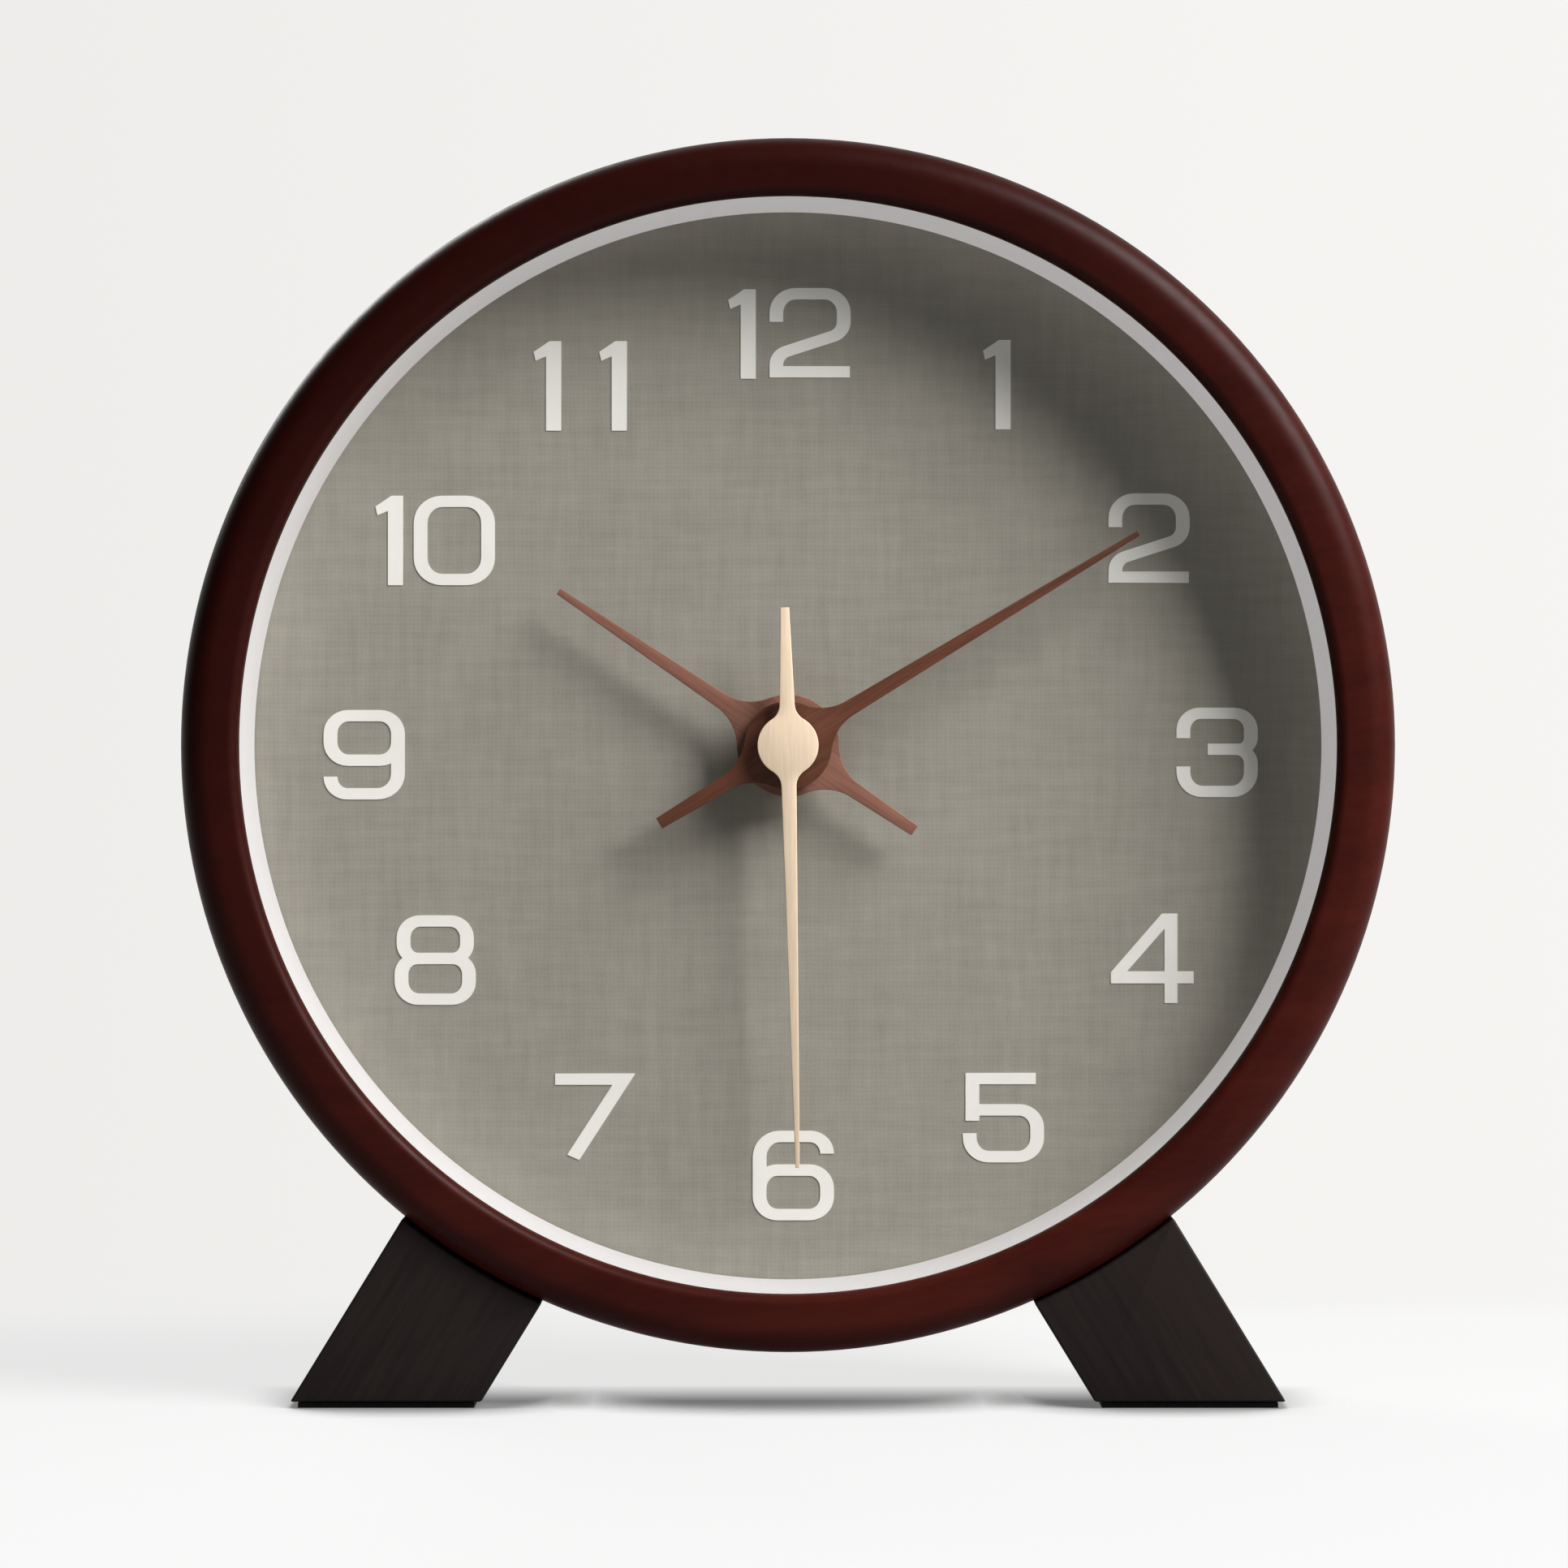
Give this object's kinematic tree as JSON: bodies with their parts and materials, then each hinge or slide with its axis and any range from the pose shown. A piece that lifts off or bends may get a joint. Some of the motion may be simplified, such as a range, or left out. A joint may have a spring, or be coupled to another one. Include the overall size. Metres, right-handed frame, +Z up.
{
  "type": "round desk clock",
  "caption": "Round desk clock: a turned wooden ring on raked feet, with a lens, a numbered dial, wooden hands and a quartz movement behind a back board.",
  "frame": {"origin": "on the surface the clock stands on, under the middle of its outer box", "axes": "+Z up, +X to the viewer's right, and the dial faces -Y"},
  "size_m": [0.2, 0.042, 0.2091],
  "materials": {
    "rim": "dark mahogany stain, satin lacquer",
    "foot": "black stain, satin",
    "white": "white lacquer, satin",
    "dial": "woven linen paper, matt",
    "clear": "clear, polished",
    "board": "fibreboard, matt",
    "rubber": "matt",
    "hour_hand": "reddish wood, satin",
    "minute_hand": "walnut, satin",
    "second_hand": "pale maple, satin",
    "plastic": "fine moulded grain",
    "wheel": "moulded acetal",
    "knob": "moulded",
    "brass": "turned",
    "steel": "zinc plated",
    "iron": "stamped soft iron",
    "copper": "enamelled copper wire, wound",
    "magnet": "moulded magnet",
    "circuit": "green solder mask",
    "chip": "black resin drop",
    "battery": "plain printed sleeve, gloss"
  },
  "bodies": {
    "case": {"case_ring": "rim", "lens": "clear", "spacer_ring": "white", "dial": "dial", "dial_retaining_ring": "board", "back_board": "board", "board_screw_1": "steel", "board_screw_2": "steel", "board_screw_3": "steel", "board_screw_4": "steel", "foot_left": "foot", "foot_right": "foot", "foot_pad_left": "rubber", "foot_pad_right": "rubber", "foot_screw_left_1": "steel", "foot_screw_left_2": "steel", "foot_screw_right_1": "steel", "foot_screw_right_2": "steel", "centre_bush": "brass", "hex_nut": "brass", "nut_washer": "brass", "dial_washer": "rubber", "movement_housing": "plastic", "middle_plate": "plastic", "movement_cover": "plastic", "stator": "iron", "coil_core": "iron", "coil": "copper", "motor_screw_left": "steel", "motor_screw_right": "steel", "circuit_board": "circuit", "clock_chip": "chip", "quartz_crystal": "steel", "battery": "battery", "battery_contact_positive": "steel", "battery_contact_negative": "steel"},
    "second_arbor": {"second_hand": "second_hand", "second_hand_socket": "brass", "seconds_wheel": "brass"},
    "minute_arbor": {"minute_hand": "minute_hand", "minute_hand_collet": "brass", "minute_pipe": "brass", "centre_wheel": "wheel"},
    "hour_pipe": {"hour_hand": "hour_hand", "hour_hand_collet": "brass", "hour_wheel": "wheel"},
    "third_arbor": {"third_wheel": "wheel"},
    "intermediate_arbor": {"intermediate_wheel": "wheel"},
    "rotor_arbor": {"rotor": "magnet"},
    "motion_work": {"minute_wheel": "wheel"},
    "hand_setting": {"setting_shaft": "wheel", "setting_knob": "knob"}
  },
  "joints": [
    {"name": "second_hand_turn", "type": "hinge", "parent": "case", "child": "second_arbor", "pos_m": [0, 0, 0.1091], "axis": [0, 1, 0], "continuous": true},
    {"name": "minute_hand_turn", "type": "hinge", "parent": "case", "child": "minute_arbor", "pos_m": [0, 0, 0.1091], "axis": [0, 1, 0], "continuous": true},
    {"name": "hour_hand_turn", "type": "hinge", "parent": "case", "child": "hour_pipe", "pos_m": [0, 0, 0.1091], "axis": [0, 1, 0], "continuous": true},
    {"name": "third_wheel_turn", "type": "hinge", "parent": "case", "child": "third_arbor", "pos_m": [0.00475, 0, 0.11733], "axis": [0, 1, 0], "continuous": true},
    {"name": "intermediate_wheel_turn", "type": "hinge", "parent": "case", "child": "intermediate_arbor", "pos_m": [-0.00837, 0, 0.10762], "axis": [0, 1, 0], "continuous": true},
    {"name": "rotor_turn", "type": "hinge", "parent": "case", "child": "rotor_arbor", "pos_m": [-0.0063, 0, 0.11535], "axis": [0, 1, 0], "continuous": true},
    {"name": "minute_wheel_turn", "type": "hinge", "parent": "case", "child": "motion_work", "pos_m": [-0.00655, 0, 0.11369], "axis": [0, 1, 0], "continuous": true},
    {"name": "setting_knob_turn", "type": "hinge", "parent": "case", "child": "hand_setting", "pos_m": [-0.01428, 0, 0.11576], "axis": [0, 1, 0], "continuous": true}
  ],
  "couplings": [
    {"joint": "second_hand_turn", "follows": "minute_hand_turn", "ratio": 60},
    {"joint": "hour_hand_turn", "follows": "minute_hand_turn", "ratio": 0.083333},
    {"joint": "third_wheel_turn", "follows": "minute_hand_turn", "ratio": -8},
    {"joint": "intermediate_wheel_turn", "follows": "minute_hand_turn", "ratio": -300},
    {"joint": "rotor_turn", "follows": "minute_hand_turn", "ratio": 1800},
    {"joint": "minute_wheel_turn", "follows": "minute_hand_turn", "ratio": -0.33333},
    {"joint": "setting_knob_turn", "follows": "minute_hand_turn", "ratio": 1}
  ]
}
